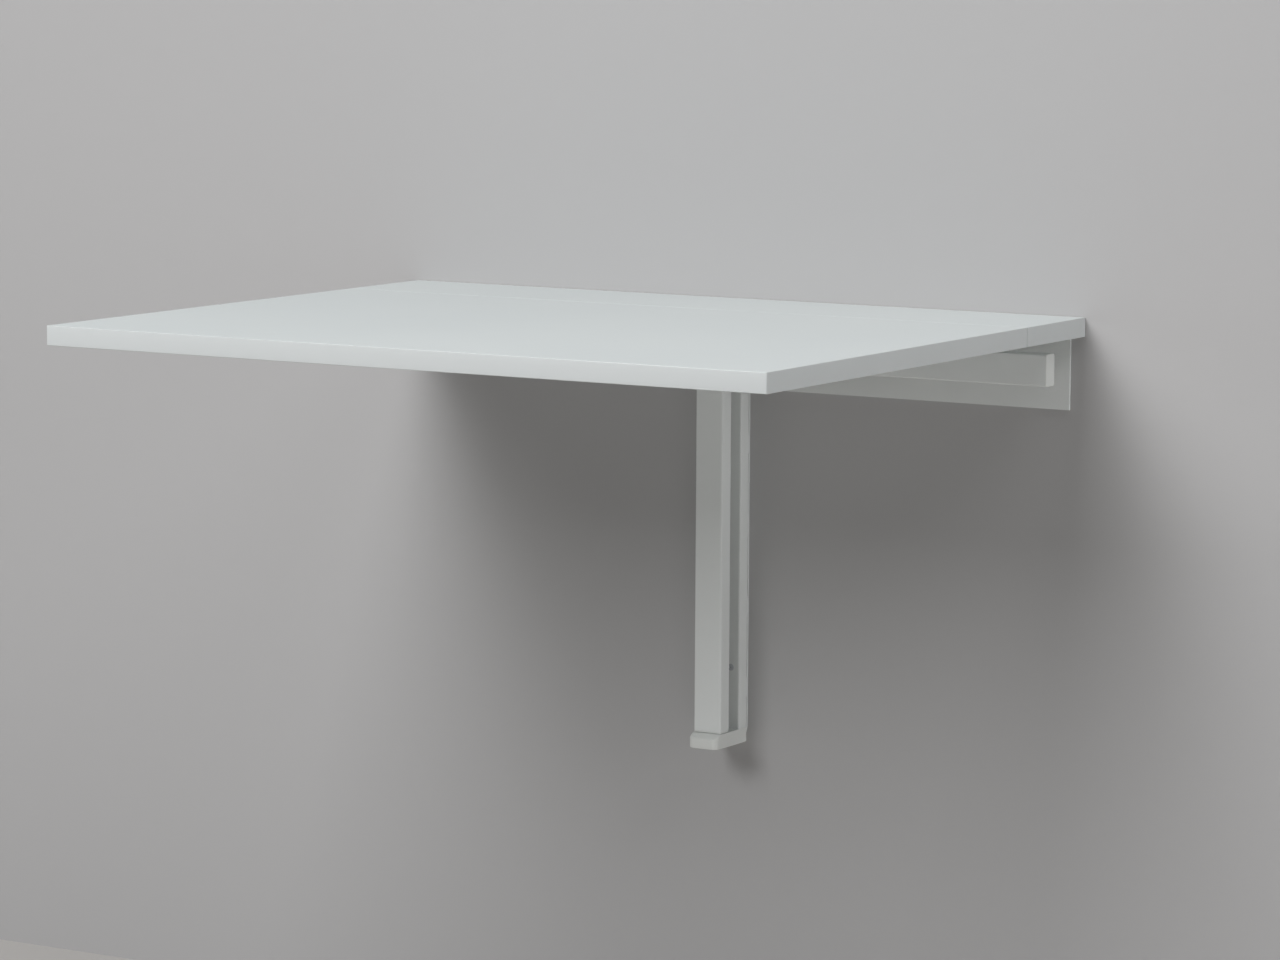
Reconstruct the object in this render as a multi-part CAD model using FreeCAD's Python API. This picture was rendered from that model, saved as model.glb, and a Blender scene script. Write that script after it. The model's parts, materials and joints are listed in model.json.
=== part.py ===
import FreeCAD, Part
import os

# Wall mounted drop leaf table: a fixed shelf and a hinged leaf over a T shaped steel wall frame,
# with a swing gate of rectangular tube that parks along the wall and turns out under the leaf.
# Millimetres. The origin is the centre of the rail plate's back face, on the wall.
# +X runs along the wall, -Y points out into the room and +Z points up.

# Overall
HEIGHT = 432.0

# Table top
TOP_WIDTH = 740.0
TOP_DEPTH = 600.0
SHELF_DEPTH = 120.0
BOARD_THICKNESS = 18.0
SEAM = 1.0
EDGE_BAND = 1.0
EDGE_ROUND = 0.6

# Wall frame: a folded rail plate and the folded leg of the post
SHEET = 2.0
FOLD_RADIUS = 1.5
RAIL_INSET = 14.0
RAIL_HEIGHT = 69.0
FLANGE_DEPTH = 32.0
TONGUE_WIDTH = 40.0
TONGUE_MARGIN = 16.0
FOOT_LEDGE_MARGIN = 9.0
WALL_HOLE_RADIUS = 3.0
WALL_HOLE_SPACING = 200.0
WALL_HOLE_COUNT = 4
POST_HOLE_DROP = 340.0
POST_HOLE_OFFSET = 5.0
POST_HOLE_RADIUS = 2.25
POST_MOUTH_RADIUS = 3.6

# Rectangular tubes
TUBE_WIDTH = 30.0
TUBE_WALL = 1.5
TUBE_ROUND = 2.0
POST_TUBE_DEPTH = 15.0
GATE_TUBE_DEPTH = 17.0

# Swing gate
GATE_GAP = 19.0
ARM_DROP = 13.0
ARM_OVERHANG = 1.0
PIN_RADIUS = 4.0
PIN_LENGTH = 30.0
PIN_HEAD_RADIUS = 5.8
RIVET_HEAD_RADIUS = 5.5
RIVET_HEAD_HEIGHT = 2.0
WASHER_THICKNESS = 1.5
WASHER_RADIUS = 6.5
PLUG_FLANGE = 1.5
PLUG_LENGTH = 36.0
END_PLUG_LENGTH = 18.0
REST_WIDTH = 18.0
REST_HEIGHT = 20.0
REST_PEG_RADIUS = 4.0

# Foot cap
FOOT_WALL = 1.0
FOOT_HEIGHT = 14.0
FOOT_FLOOR = 2.5
FOOT_LEDGE = 1.4
FOOT_TOE = 9.0
FOOT_SLOPE = 5.0
FOOT_CORNER = 6.0
FOOT_RIM = 0.8
FOOT_BOSS_RADIUS = 5.0

# Block under the leaf that the gate's arm swings beneath
BLOCK_LENGTH = 50.0
BLOCK_TIP_MARGIN = 8.0
BLOCK_SIDE = 9.0
BLOCK_RAMP = 6.0
BLOCK_LIP_THICKNESS = 5.0
BLOCK_LIP_DROP = 10.0
BLOCK_SCREW_SPACING = 28.0
BLOCK_HEAD_RECESS = 1.5
BLOCK_ROUND = 1.0

# Leaf hinges
HINGE_INSET = 100.0
HINGE_LENGTH = 70.0
HINGE_PLATE_WIDTH = 28.0
HINGE_PLATE = 2.0
HINGE_AXIS_DROP = 4.0
KNUCKLE_RADIUS = 3.7
KNUCKLE_COUNT = 5
HINGE_PIN_RADIUS = 2.0
HINGE_HEAD_HEIGHT = 1.0
HINGE_CORNER = 2.0
HINGE_SCREW_OFFSETS = ((-25.0, 21.0), (0.0, 14.0), (25.0, 21.0))

# Screws
WOOD_SCREW_RADIUS = 1.75
WOOD_SCREW_HEAD = 3.5
WOOD_SCREW_BITE = 12.0
BLOCK_SCREW_RADIUS = 2.0
BLOCK_SCREW_HEAD = 3.9
PAN_SCREW_RADIUS = 2.1
PAN_HEAD_RADIUS = 4.4
PAN_HEAD_HEIGHT = 2.6
SHELF_SCREW_INSET = 45.0
SHELF_SCREW_INNER = 125.0
RECESS_SPAN = 0.5
RECESS_SLOT = 0.9
RECESS_DEPTH = 1.3

# Clearances
RUNNING = 0.05
PLUG_FIT = 0.1
SEAT = 0.1
PIVOT_GAP = 0.3
BEND_CLEARANCE = 0.3
ARM_CLEARANCE = 0.5
HOLE_CLEARANCE = 0.3

# How near an edge lies to a plane that it is picked by
NEAR = 0.05

# Heights and places that follow from the sizes above
RAIL_WIDTH = TOP_WIDTH - 2 * RAIL_INSET
HINGE_X = TOP_WIDTH / 2 - HINGE_INSET
SHELF_SCREW_OUTER = TOP_WIDTH / 2 - SHELF_SCREW_INSET
SHELF_SCREW_X = (-SHELF_SCREW_OUTER, -SHELF_SCREW_INNER, SHELF_SCREW_INNER, SHELF_SCREW_OUTER)
POST_DROP = HEIGHT - BOARD_THICKNESS - FOOT_HEIGHT
UNDERSIDE = RAIL_HEIGHT / 2
TOP_SURFACE = UNDERSIDE + BOARD_THICKNESS
FOOT_TOP = UNDERSIDE - POST_DROP
LEDGE_BOTTOM = FOOT_TOP - SHEET
POST_FRONT = -(SHEET + POST_TUBE_DEPTH)
GATE_AXIS_Y = POST_FRONT - GATE_GAP - GATE_TUBE_DEPTH / 2
TONGUE_FRONT = GATE_AXIS_Y - TONGUE_MARGIN
LEDGE_FRONT = GATE_AXIS_Y - FOOT_LEDGE_MARGIN
ARM_REACH = RAIL_WIDTH / 2 + ARM_OVERHANG
ARM_TOP = UNDERSIDE - ARM_DROP
ARM_MIDDLE = ARM_TOP - TUBE_WIDTH / 2
STILE_TOP = UNDERSIDE - SHEET - PIVOT_GAP - PLUG_FLANGE
STILE_BOTTOM = FOOT_TOP + PIVOT_GAP + PLUG_FLANGE
WASHER_SINK = WASHER_THICKNESS + SEAT - PIVOT_GAP
ARM_END = ARM_REACH - PLUG_FLANGE
HINGE_Y = -SHELF_DEPTH
HINGE_Z = UNDERSIDE - HINGE_AXIS_DROP
SHELF_SCREW_Y = -(SHEET + FLANGE_DEPTH) / 2
BLOCK_DEPTH = ARM_DROP - ARM_CLEARANCE
BLOCK_OUTER_Y = GATE_AXIS_Y - ARM_REACH + BLOCK_TIP_MARGIN
BLOCK_SCREW_X = BLOCK_SIDE - GATE_TUBE_DEPTH / 2
REST_X = WALL_HOLE_SPACING
GATE_SWEEP = (TUBE_WIDTH ** 2 + GATE_TUBE_DEPTH ** 2) ** 0.5 / 2
FOOT_SCREW_Y = (POST_FRONT + GATE_AXIS_Y + GATE_SWEEP) / 2

X_AXIS = FreeCAD.Vector(1, 0, 0)
Y_AXIS = FreeCAD.Vector(0, 1, 0)
Z_AXIS = FreeCAD.Vector(0, 0, 1)

# Sides of the hinge line, as the sign of Y from it
SHELF_SIDE = 1
LEAF_SIDE = -1


def point(x, y, z):
    return FreeCAD.Vector(x, y, z)


def box(x_low, x_high, y_low, y_high, z_low, z_high):
    """Box between two corners."""
    corner = point(x_low, y_low, z_low)
    return Part.makeBox(x_high - x_low, y_high - y_low, z_high - z_low, corner)


def edges_along(shape, direction, keep=lambda middle: True):
    """Straight edges that run along a direction and whose middle passes a test."""
    found = []
    for edge in shape.Edges:
        if not isinstance(edge.Curve, Part.Line):
            continue
        run = edge.Vertexes[-1].Point.sub(edge.Vertexes[0].Point)
        along = abs(run.dot(direction)) > 0.999 * run.Length
        if along and keep(edge.CenterOfMass):
            found.append(edge)
    return found


def rounded_box(limits, direction, radius):
    """Box whose four edges along one direction are rounded."""
    body = box(*limits)
    return body.makeFillet(radius, edges_along(body, direction))


def shrink(limits, x=0.0, y=0.0, z=0.0):
    """Box limits pulled in by a margin along each axis."""
    x_low, x_high, y_low, y_high, z_low, z_high = limits
    return (x_low + x, x_high - x, y_low + y, y_high - y, z_low + z, z_high - z)


def one_solid(shape):
    """A single clean solid from the result of a boolean operation."""
    clean = shape.removeSplitter()
    return clean.Solids[0]


def save(name, solids):
    """Write one node, which holds one or more separate solids."""
    shape = solids[0] if len(solids) == 1 else Part.makeCompound(solids)
    shape.exportStep(os.path.join("parts", name + ".step"))


def cross_recess(head, radius):
    """Two crossed slots sunk upwards into the face of a screw head."""
    span = radius * RECESS_SPAN
    half = RECESS_SLOT / 2
    along = box(-span, span, -half, half, 0.0, RECESS_DEPTH)
    slots = along.fuse(box(-half, half, -span, span, 0.0, RECESS_DEPTH))
    slots.translate(head)
    return slots


def countersunk_screw(head, radius, head_radius, length):
    """Screw driven upwards: a countersunk head at the bottom, a shank and a point."""
    cone = head_radius - radius
    shank_end = length - radius * 2
    body = Part.makeCone(head_radius, radius, cone, head, Z_AXIS)
    shank_base = head.add(point(0, 0, cone))
    body = body.fuse(Part.makeCylinder(radius, shank_end - cone, shank_base, Z_AXIS))
    tip_base = head.add(point(0, 0, shank_end))
    body = body.fuse(Part.makeCone(radius, 0.0, radius * 2, tip_base, Z_AXIS))
    return one_solid(body.cut(cross_recess(head, head_radius)))


def pan_screw(seat, length):
    """Screw driven upwards whose rounded head lies below its seat."""
    base = seat.sub(point(0, 0, PAN_HEAD_HEIGHT))
    head = Part.makeCylinder(PAN_HEAD_RADIUS, PAN_HEAD_HEIGHT, base, Z_AXIS)
    rim = [edge for edge in head.Edges if edge.CenterOfMass.z < base.z + NEAR]
    head = head.makeFillet(PAN_HEAD_HEIGHT / 2, rim)
    shank_end = length - PAN_SCREW_RADIUS * 2
    body = head.fuse(Part.makeCylinder(PAN_SCREW_RADIUS, shank_end, seat, Z_AXIS))
    tip_base = seat.add(point(0, 0, shank_end))
    tip = Part.makeCone(PAN_SCREW_RADIUS, 0.0, PAN_SCREW_RADIUS * 2, tip_base, Z_AXIS)
    return one_solid(body.fuse(tip).cut(cross_recess(base, PAN_HEAD_RADIUS)))


def screw_hole(start, radius, length):
    """Pilot hole, a running clearance wider and deeper than the screw that bites in it."""
    return Part.makeCylinder(radius + RUNNING, length + HOLE_CLEARANCE, start, Z_AXIS)


def countersink(face, radius, head_radius, thickness):
    """Countersunk through hole whose wide mouth lies on a face below it."""
    wide = head_radius + RUNNING
    narrow = radius + RUNNING
    cone = Part.makeCone(wide, narrow, wide - narrow, face, Z_AXIS)
    return cone.fuse(Part.makeCylinder(narrow, thickness, face, Z_AXIS))


def tube(limits, direction):
    """Rectangular tube along X or Z with rounded corners and open ends."""
    outer = rounded_box(limits, direction, TUBE_ROUND)
    wall_x = 0.0 if direction is X_AXIS else TUBE_WALL
    wall_z = TUBE_WALL if direction is X_AXIS else 0.0
    inner = shrink(limits, wall_x, TUBE_WALL, wall_z)
    return outer.cut(rounded_box(inner, direction, TUBE_ROUND - TUBE_WALL / 2))


# Boards and their edge bands

SHELF_LIMITS = (-TOP_WIDTH / 2, TOP_WIDTH / 2, HINGE_Y + SEAM / 2, 0.0, UNDERSIDE, TOP_SURFACE)
LEAF_LIMITS = (-TOP_WIDTH / 2, TOP_WIDTH / 2, -TOP_DEPTH, HINGE_Y - SEAM / 2, UNDERSIDE, TOP_SURFACE)


def hinge_screw_places(side):
    """Screw heads under the boards, on one side of the hinge line."""
    return [
        point(centre + along, HINGE_Y + side * across, UNDERSIDE - HINGE_PLATE)
        for centre in (-HINGE_X, HINGE_X)
        for along, across in HINGE_SCREW_OFFSETS
    ]


def hinge_pilot_holes(side):
    reach = HINGE_PLATE + WOOD_SCREW_BITE
    return [screw_hole(place, WOOD_SCREW_RADIUS, reach) for place in hinge_screw_places(side)]


def shelf_screw_seats():
    return [point(x, SHELF_SCREW_Y, UNDERSIDE - SHEET) for x in SHELF_SCREW_X]


def block_screw_heads():
    middle = BLOCK_OUTER_Y + BLOCK_LENGTH / 2
    head_z = UNDERSIDE - BLOCK_DEPTH + BLOCK_HEAD_RECESS
    half = BLOCK_SCREW_SPACING / 2
    return [point(BLOCK_SCREW_X, middle + step, head_z) for step in (-half, half)]


def block_screw_length():
    return BLOCK_DEPTH - BLOCK_HEAD_RECESS + WOOD_SCREW_BITE


def make_shelf():
    """Fixed shelf, banded on its front and both ends, plain where it meets the wall."""
    x_low, x_high, y_low, y_high, z_low, z_high = SHELF_LIMITS
    core = box(x_low + EDGE_BAND, x_high - EDGE_BAND, y_low + EDGE_BAND, y_high, z_low, z_high)
    shelf_screws = [
        screw_hole(seat, PAN_SCREW_RADIUS, SHEET + WOOD_SCREW_BITE) for seat in shelf_screw_seats()
    ]
    save("shelf_board", [one_solid(core.cut(hinge_pilot_holes(SHELF_SIDE) + shelf_screws))])
    bands = [
        band(x_low, x_low + EDGE_BAND, y_low, y_high, "left"),
        band(x_high - EDGE_BAND, x_high, y_low, y_high, "right"),
        band(x_low + EDGE_BAND, x_high - EDGE_BAND, y_low, y_low + EDGE_BAND, "front"),
    ]
    save("shelf_edge_bands", bands)


def make_leaf():
    """Drop leaf, banded on all four edges."""
    x_low, x_high, y_low, y_high, z_low, z_high = LEAF_LIMITS
    core = box(*shrink(LEAF_LIMITS, EDGE_BAND, EDGE_BAND))
    block_holes = [
        screw_hole(head, BLOCK_SCREW_RADIUS, block_screw_length()) for head in block_screw_heads()
    ]
    save("leaf_board", [one_solid(core.cut(hinge_pilot_holes(LEAF_SIDE) + block_holes))])
    bands = [
        band(x_low, x_low + EDGE_BAND, y_low, y_high, "left"),
        band(x_high - EDGE_BAND, x_high, y_low, y_high, "right"),
        band(x_low + EDGE_BAND, x_high - EDGE_BAND, y_low, y_low + EDGE_BAND, "front"),
        band(x_low + EDGE_BAND, x_high - EDGE_BAND, y_high - EDGE_BAND, y_high, "back"),
    ]
    save("leaf_edge_bands", bands)


def band(x_low, x_high, y_low, y_high, side):
    """Edge band strip with its two long outer edges rounded over."""
    strip = box(x_low, x_high, y_low, y_high, UNDERSIDE, TOP_SURFACE)
    outer = {
        "left": lambda middle: middle.x < x_low + EDGE_BAND / 2,
        "right": lambda middle: middle.x > x_high - EDGE_BAND / 2,
        "front": lambda middle: middle.y < y_low + EDGE_BAND / 2,
        "back": lambda middle: middle.y > y_high - EDGE_BAND / 2,
    }[side]
    run = Y_AXIS if side in ("left", "right") else X_AXIS
    return strip.makeFillet(EDGE_ROUND, edges_along(strip, run, outer))


# Leaf hinges

def knuckle_spans(side):
    """Stretches of the barrel that belong to the plate on one side of the hinge line."""
    pitch = HINGE_LENGTH / KNUCKLE_COUNT
    first = 0 if side == SHELF_SIDE else 1
    spans = []
    for index in range(first, KNUCKLE_COUNT, 2):
        low = -HINGE_LENGTH / 2 + index * pitch
        trim_low = BEND_CLEARANCE / 2 if index > 0 else 0.0
        trim_high = BEND_CLEARANCE / 2 if index < KNUCKLE_COUNT - 1 else 0.0
        spans.append((low + trim_low, low + pitch - trim_high))
    return spans


def hinge_plate(centre, side):
    """Flat plate under a board, with its knuckles rolled round the hinge axis."""
    far = HINGE_Y + side * HINGE_PLATE_WIDTH
    relief = HINGE_Y + side * (KNUCKLE_RADIUS + BEND_CLEARANCE)
    low, high = sorted((far, relief))
    z_low = UNDERSIDE - HINGE_PLATE
    ends = (centre - HINGE_LENGTH / 2, centre + HINGE_LENGTH / 2)
    plate = box(ends[0], ends[1], low, high, z_low, UNDERSIDE)
    corners = edges_along(plate, Z_AXIS, lambda middle: abs(middle.y - far) < NEAR)
    plate = plate.makeFillet(HINGE_CORNER, corners)
    barrel_top = HINGE_Z + KNUCKLE_RADIUS
    for start, end in knuckle_spans(side):
        base = point(centre + start, HINGE_Y, HINGE_Z)
        roll = Part.makeCylinder(KNUCKLE_RADIUS, end - start, base, X_AXIS)
        root_low, root_high = sorted((HINGE_Y, relief))
        web = box(centre + start, centre + end, root_low, root_high, z_low, barrel_top)
        plate = plate.fuse([roll, web])
    bore_base = point(ends[0] - SEAT, HINGE_Y, HINGE_Z)
    bore = Part.makeCylinder(HINGE_PIN_RADIUS + RUNNING, HINGE_LENGTH + 2 * SEAT, bore_base, X_AXIS)
    holes = [
        countersink(place, WOOD_SCREW_RADIUS, WOOD_SCREW_HEAD, HINGE_PLATE)
        for place in hinge_screw_places(side)
        if abs(place.x - centre) < HINGE_LENGTH / 2
    ]
    return one_solid(plate.cut([bore] + holes))


def hinge_pin(centre):
    """Pin through all knuckles, headed over at both ends."""
    start = centre - HINGE_LENGTH / 2
    overhang = BEND_CLEARANCE / 2
    shaft_length = HINGE_LENGTH + 2 * overhang
    shaft = Part.makeCylinder(
        HINGE_PIN_RADIUS, shaft_length, point(start - overhang, HINGE_Y, HINGE_Z), X_AXIS
    )
    head_radius = (HINGE_PIN_RADIUS + KNUCKLE_RADIUS) / 2
    heads = [
        Part.makeCylinder(head_radius, HINGE_HEAD_HEIGHT, point(x, HINGE_Y, HINGE_Z), X_AXIS)
        for x in (start - overhang - HINGE_HEAD_HEIGHT, start + HINGE_LENGTH + overhang)
    ]
    return one_solid(shaft.fuse(heads))


def make_hinges():
    for word, centre in (("left", -HINGE_X), ("right", HINGE_X)):
        save("hinge_shelf_plate_" + word, [hinge_plate(centre, SHELF_SIDE)])
        save("hinge_leaf_plate_" + word, [hinge_plate(centre, LEAF_SIDE)])
        save("hinge_pin_" + word, [hinge_pin(centre)])
    length = HINGE_PLATE + WOOD_SCREW_BITE
    for word, side in (("shelf", SHELF_SIDE), ("leaf", LEAF_SIDE)):
        screws = [
            countersunk_screw(place, WOOD_SCREW_RADIUS, WOOD_SCREW_HEAD, length)
            for place in hinge_screw_places(side)
        ]
        save("hinge_%s_screws" % word, screws)


# Wall frame

def wall_hole_places():
    first = -WALL_HOLE_SPACING * (WALL_HOLE_COUNT - 1) / 2
    return [first + index * WALL_HOLE_SPACING for index in range(WALL_HOLE_COUNT)]


def folded_strip(half_width, fold_y, z_low, z_high, fold_at_top):
    """L shaped strip of sheet on the wall, folded forward at its top or bottom end."""
    upright = box(-half_width, half_width, -SHEET, 0.0, z_low, z_high)
    if fold_at_top:
        fold = box(-half_width, half_width, fold_y, 0.0, z_high - SHEET, z_high)
        inner_z, outer_z = z_high - SHEET, z_high
    else:
        fold = box(-half_width, half_width, fold_y, 0.0, z_low, z_low + SHEET)
        inner_z, outer_z = z_low + SHEET, z_low
    strip = one_solid(upright.fuse(fold))
    inner = edges_along(
        strip, X_AXIS, lambda middle: abs(middle.y + SHEET) < NEAR and abs(middle.z - inner_z) < NEAR
    )
    strip = strip.makeFillet(FOLD_RADIUS, inner)
    outer = edges_along(
        strip, X_AXIS, lambda middle: abs(middle.y) < NEAR and abs(middle.z - outer_z) < NEAR
    )
    return strip.makeFillet(FOLD_RADIUS + SHEET, outer)


def sheet_hole(radius, x, z):
    """Hole through the sheet on the wall."""
    return Part.makeCylinder(radius, SHEET, point(x, -SHEET, z), Y_AXIS)


def make_rail_plate():
    """Rail plate with its top flange, and the tongue that holds the gate's upper pivot."""
    rail = folded_strip(RAIL_WIDTH / 2, -FLANGE_DEPTH, -RAIL_HEIGHT / 2, UNDERSIDE, True)
    tongue = box(
        -TONGUE_WIDTH / 2, TONGUE_WIDTH / 2, TONGUE_FRONT, -FLANGE_DEPTH, UNDERSIDE - SHEET, UNDERSIDE
    )
    front_corners = edges_along(tongue, Z_AXIS, lambda middle: middle.y < TONGUE_FRONT + NEAR)
    tongue = tongue.makeFillet(TONGUE_WIDTH / 4, front_corners)
    cuts = [sheet_hole(WALL_HOLE_RADIUS, x, 0.0) for x in wall_hole_places()]
    cuts.append(sheet_hole(REST_PEG_RADIUS + RUNNING, REST_X, ARM_MIDDLE))
    for seat in shelf_screw_seats():
        cuts.append(Part.makeCylinder(PAN_SCREW_RADIUS + HOLE_CLEARANCE, SHEET, seat, Z_AXIS))
    cuts.append(upper_pin_shape(RUNNING))
    save("rail_plate", [one_solid(rail.fuse(tongue).cut(cuts))])


def make_post_leg():
    """Leg of the post, welded to the rail's lower edge and folded forward into the foot ledge."""
    leg = folded_strip(TUBE_WIDTH / 2, LEDGE_FRONT, LEDGE_BOTTOM, -RAIL_HEIGHT / 2, False)
    cuts = [sheet_hole(POST_HOLE_RADIUS, POST_HOLE_OFFSET, UNDERSIDE - POST_HOLE_DROP)]
    lower_hole = point(0.0, GATE_AXIS_Y, LEDGE_BOTTOM)
    cuts.append(Part.makeCylinder(PIN_RADIUS + RUNNING, SHEET, lower_hole, Z_AXIS))
    foot_screw_hole = point(0.0, FOOT_SCREW_Y, LEDGE_BOTTOM)
    cuts.append(Part.makeCylinder(PAN_SCREW_RADIUS + RUNNING, SHEET, foot_screw_hole, Z_AXIS))
    save("post_leg", [one_solid(leg.cut(cuts))])


def make_post_tube():
    """Tube on the post's leg, from the rail's flange down to the foot ledge. One countersunk wall
    screw goes through its front and back walls."""
    top = UNDERSIDE - SHEET - BEND_CLEARANCE
    limits = (-TUBE_WIDTH / 2, TUBE_WIDTH / 2, POST_FRONT, -SHEET, FOOT_TOP, top)
    body = tube(limits, Z_AXIS)
    notch_depth = FOLD_RADIUS
    for z in (FOOT_TOP, top - notch_depth):
        body = body.cut(box(-TUBE_WIDTH, TUBE_WIDTH, -SHEET - notch_depth, 0.0, z, z + notch_depth))
    hole_z = UNDERSIDE - POST_HOLE_DROP
    front_base = point(POST_HOLE_OFFSET, POST_FRONT, hole_z)
    mouth_depth = POST_MOUTH_RADIUS - POST_HOLE_RADIUS
    mouth = Part.makeCone(POST_MOUTH_RADIUS, POST_HOLE_RADIUS, mouth_depth, front_base, Y_AXIS)
    front = Part.makeCylinder(POST_HOLE_RADIUS, TUBE_WALL, front_base, Y_AXIS)
    back_base = point(POST_HOLE_OFFSET, -SHEET - TUBE_WALL, hole_z)
    back = Part.makeCylinder(POST_HOLE_RADIUS, TUBE_WALL, back_base, Y_AXIS)
    save("post_tube", [one_solid(body.cut([mouth, front, back]))])


def make_foot_cap():
    """Moulded shoe under the foot ledge, open at the wall side, with a boss for its screw and a toe
    that slopes down from the ledge."""
    half = TUBE_WIDTH / 2 + FOOT_WALL
    front = LEDGE_FRONT - FOOT_TOE
    bottom = FOOT_TOP - FOOT_HEIGHT
    shoe = box(-half, half, front, 0.0, bottom, FOOT_TOP)
    front_uprights = edges_along(shoe, Z_AXIS, lambda middle: middle.y < front + NEAR)
    shoe = shoe.makeFillet(FOOT_CORNER, front_uprights)
    slope = [
        point(-half, LEDGE_FRONT - FOOT_WALL, FOOT_TOP), point(-half, front, FOOT_TOP),
        point(-half, front, FOOT_TOP - FOOT_SLOPE),
    ]
    wedge = Part.Face(Part.makePolygon(slope + slope[:1])).extrude(point(2 * half, 0, 0))
    shoe = one_solid(shoe.cut(wedge))
    lower_rim = [
        edge for edge in shoe.Edges
        if edge.CenterOfMass.z < bottom + NEAR and edge.CenterOfMass.y < -NEAR
    ]
    shoe = shoe.makeFillet(FOOT_RIM, lower_rim)
    pocket = box(
        -TUBE_WIDTH / 2 - SEAT, TUBE_WIDTH / 2 + SEAT, LEDGE_FRONT - SEAT, 0.0, LEDGE_BOTTOM, FOOT_TOP
    )
    inside_x = TUBE_WIDTH / 2 - FOOT_LEDGE
    hollow = box(
        -inside_x, inside_x, LEDGE_FRONT + FOOT_LEDGE, -FOOT_LEDGE, bottom + FOOT_FLOOR, LEDGE_BOTTOM
    )
    fold_room = box(
        -TUBE_WIDTH / 2 - SEAT, TUBE_WIDTH / 2 + SEAT, -SHEET - FOLD_RADIUS, 0.0, LEDGE_BOTTOM - SEAT,
        LEDGE_BOTTOM
    )
    shoe = shoe.cut([pocket, hollow, fold_room])
    boss_base = point(0.0, FOOT_SCREW_Y, bottom + FOOT_FLOOR)
    boss_height = LEDGE_BOTTOM - boss_base.z
    shoe = shoe.fuse(Part.makeCylinder(FOOT_BOSS_RADIUS, boss_height, boss_base, Z_AXIS))
    screw_way = point(0.0, FOOT_SCREW_Y, bottom)
    hole = Part.makeCylinder(PAN_SCREW_RADIUS + HOLE_CLEARANCE, FOOT_HEIGHT, screw_way, Z_AXIS)
    head_room = Part.makeCylinder(
        PAN_HEAD_RADIUS + HOLE_CLEARANCE, PAN_HEAD_HEIGHT + HOLE_CLEARANCE, screw_way, Z_AXIS
    )
    save("foot_cap", [one_solid(shoe.cut([hole, head_room]))])
    seat = point(0.0, FOOT_SCREW_Y, bottom + PAN_HEAD_HEIGHT + HOLE_CLEARANCE)
    save("foot_screw", [pan_screw(seat, FOOT_TOP - seat.z + PAN_SCREW_RADIUS)])


def make_shelf_screws():
    screws = [pan_screw(seat, SHEET + WOOD_SCREW_BITE) for seat in shelf_screw_seats()]
    save("shelf_screws", screws)


# Swing gate and its pivots

def upper_pin_shape(margin):
    """Headed pin set flush in the tongue, pointing down; margin makes it a hole for itself."""
    head = PIN_HEAD_RADIUS + margin
    shaft = PIN_RADIUS + margin
    cone_height = head - shaft
    cone = Part.makeCone(
        shaft, head, cone_height, point(0.0, GATE_AXIS_Y, UNDERSIDE - cone_height), Z_AXIS
    )
    length = PIN_LENGTH if margin == 0.0 else SHEET
    body = Part.makeCylinder(shaft, length, point(0.0, GATE_AXIS_Y, UNDERSIDE - length), Z_AXIS)
    return cone.fuse(body)


def make_pivots():
    """Both pivot pins and the two thrust washers."""
    save("upper_pivot_pin", [one_solid(upper_pin_shape(0.0))])
    base = point(0.0, GATE_AXIS_Y, LEDGE_BOTTOM)
    shaft = Part.makeCylinder(PIN_RADIUS, SHEET + PIN_LENGTH, base, Z_AXIS)
    head_base = base.sub(point(0, 0, RIVET_HEAD_HEIGHT))
    head = Part.makeCylinder(RIVET_HEAD_RADIUS, RIVET_HEAD_HEIGHT, head_base, Z_AXIS)
    save("lower_pivot_pin", [one_solid(shaft.fuse(head))])
    save("lower_pivot_washer", [washer(FOOT_TOP)])
    save("upper_pivot_washer", [washer(UNDERSIDE - SHEET - SEAT - WASHER_THICKNESS)])


def washer(z):
    base = point(0.0, GATE_AXIS_Y, z)
    ring = Part.makeCylinder(WASHER_RADIUS, WASHER_THICKNESS, base, Z_AXIS)
    return ring.cut(Part.makeCylinder(PIN_RADIUS + RUNNING, WASHER_THICKNESS, base, Z_AXIS))


STILE_LIMITS = (
    -TUBE_WIDTH / 2, TUBE_WIDTH / 2,
    GATE_AXIS_Y - GATE_TUBE_DEPTH / 2, GATE_AXIS_Y + GATE_TUBE_DEPTH / 2,
    STILE_BOTTOM, STILE_TOP,
)
ARM_LIMITS = (TUBE_WIDTH / 2, ARM_END, STILE_LIMITS[2], STILE_LIMITS[3], ARM_TOP - TUBE_WIDTH, ARM_TOP)


def stile_plug(tube_end, inward):
    """Moulded plug in an end of the stile, bored for its pivot pin and sunk for the washer; inward is
    1 up or -1 down."""
    x_low, x_high, y_low, y_high = STILE_LIMITS[:4]
    flange_z = sorted((tube_end, tube_end - inward * PLUG_FLANGE))
    flange = rounded_box((x_low, x_high, y_low, y_high, *flange_z), Z_AXIS, TUBE_ROUND)
    inset = TUBE_WALL + PLUG_FIT
    insert_z = sorted((tube_end, tube_end + inward * PLUG_LENGTH))
    insert = rounded_box(
        (x_low + inset, x_high - inset, y_low + inset, y_high - inset, *insert_z), Z_AXIS, TUBE_ROUND / 2
    )
    mouth = tube_end - inward * PLUG_FLANGE
    depth = PIN_LENGTH + SEAT
    bore_z = min(mouth, mouth + inward * depth)
    bore = Part.makeCylinder(PIN_RADIUS + RUNNING, depth, point(0.0, GATE_AXIS_Y, bore_z), Z_AXIS)
    sink_z = min(mouth, mouth + inward * WASHER_SINK)
    sink = Part.makeCylinder(
        WASHER_RADIUS + RUNNING, WASHER_SINK, point(0.0, GATE_AXIS_Y, sink_z), Z_AXIS
    )
    return one_solid(flange.fuse(insert).cut([bore, sink]))


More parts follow.
